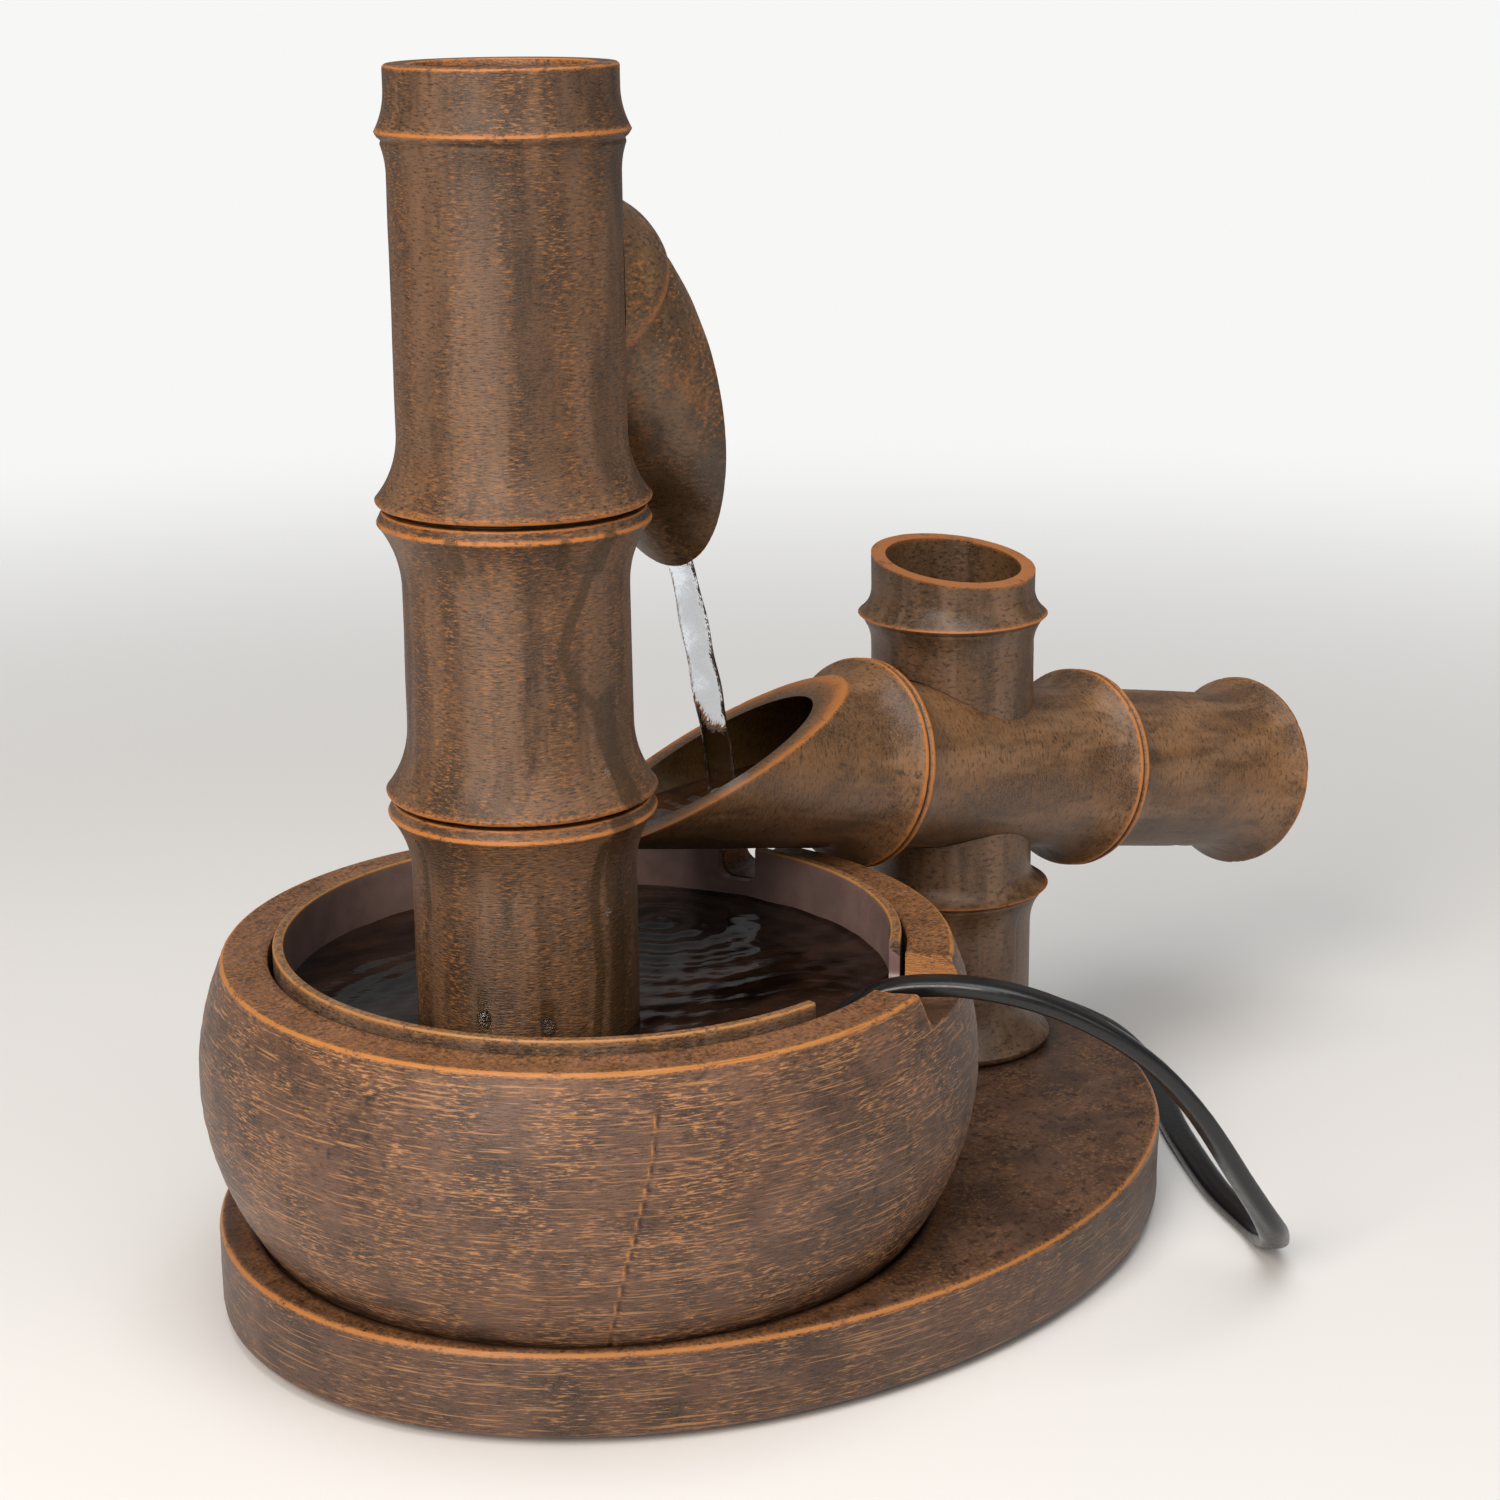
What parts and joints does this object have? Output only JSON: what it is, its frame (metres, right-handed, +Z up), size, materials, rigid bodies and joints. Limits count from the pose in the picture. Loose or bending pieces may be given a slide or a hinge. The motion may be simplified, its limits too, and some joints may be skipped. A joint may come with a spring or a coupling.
{
  "type": "tabletop fountain",
  "caption": "Tabletop bamboo fountain: oval base, barrel bowl with liner, stacked column with scoop spout, post with cross pipe and open trough, pump and flat mains cord.",
  "frame": {"origin": "on the surface that the fountain stands on, under the bowl's axis", "axes": "+Z up; +X along the base plate from the bowl towards the post"},
  "size_m": [0.3135, 0.2855, 0.2631],
  "materials": {
    "bamboo_resin": "satin dark brown resin with tan dry-brushed edges",
    "bowl_resin": "satin brown resin with wood grain",
    "liner_plastic": "satin dark grey",
    "pump_plastic": "satin black",
    "slider_plastic": "matt pale grey",
    "impeller_plastic": "matt white",
    "hose_rubber": "clear soft hose",
    "soft_rubber": "matt dark rubber",
    "peg_wood": "bare beech",
    "core_steel": "sheet steel stack",
    "winding_copper": "enamelled copper wire",
    "magnet_ferrite": "dark ferrite",
    "ceramic": "polished white ceramic",
    "cord_pvc": "glossy black",
    "tie_plastic": "matt grey",
    "pin_metal": "nickel plated"
  },
  "bodies": {
    "stand": {"base_plate": "bowl_resin", "base_pad": "soft_rubber", "bowl": "bowl_resin", "bowl_liner": "liner_plastic", "riser_hose": "hose_rubber", "post_peg": "peg_wood", "pump_housing": "pump_plastic", "pump_back_plate": "pump_plastic", "pump_core": "core_steel", "pump_winding": "winding_copper", "pump_cover": "pump_plastic", "pump_seal_ring": "soft_rubber", "pump_strainer": "pump_plastic", "pump_shaft": "ceramic", "pump_bushes": "soft_rubber", "pump_suction_cups": "soft_rubber", "cord_relief": "pump_plastic", "power_cord": "cord_pvc", "cord_coil": "cord_pvc", "cord_tie": "tie_plastic", "plug_body": "pump_plastic", "plug_pins": "pin_metal"},
    "column_foot": {"column_lower": "bamboo_resin"},
    "column_mid": {"column_middle": "bamboo_resin"},
    "column_head": {"column_upper": "bamboo_resin", "spout_scoop": "bamboo_resin"},
    "post": {"post_lower": "bamboo_resin", "cross_pipe": "bamboo_resin", "post_upper": "bamboo_resin"},
    "rotor": {"pump_magnet": "magnet_ferrite", "pump_impeller": "impeller_plastic"},
    "flow_slider": {"pump_flow_slider": "slider_plastic"}
  },
  "joints": [
    {"name": "column_lift", "type": "slide", "parent": "stand", "child": "column_foot", "axis": [0, 0, 1], "range_m": [0, 0.06]},
    {"name": "section_lift", "type": "slide", "parent": "column_foot", "child": "column_mid", "axis": [0, 0, 1], "range_m": [0, 0.03]},
    {"name": "spout_turn", "type": "hinge", "parent": "column_mid", "child": "column_head", "pos_m": [-0.022, -0.0055, 0.1783], "axis": [0, 0, 1], "continuous": true},
    {"name": "post_turn", "type": "hinge", "parent": "stand", "child": "post", "pos_m": [0.1253, 0.0064, 0.0205], "axis": [0, 0, 1], "range_deg": [-60, 60]},
    {"name": "rotor_spin", "type": "hinge", "parent": "stand", "child": "rotor", "pos_m": [-0.022, -0.0055, 0.0446], "axis": [0.6428, -0.766, 0], "continuous": true},
    {"name": "flow_slide", "type": "slide", "parent": "stand", "child": "flow_slider", "axis": [0, 0, 1], "range_m": [0, 0.006]}
  ]
}
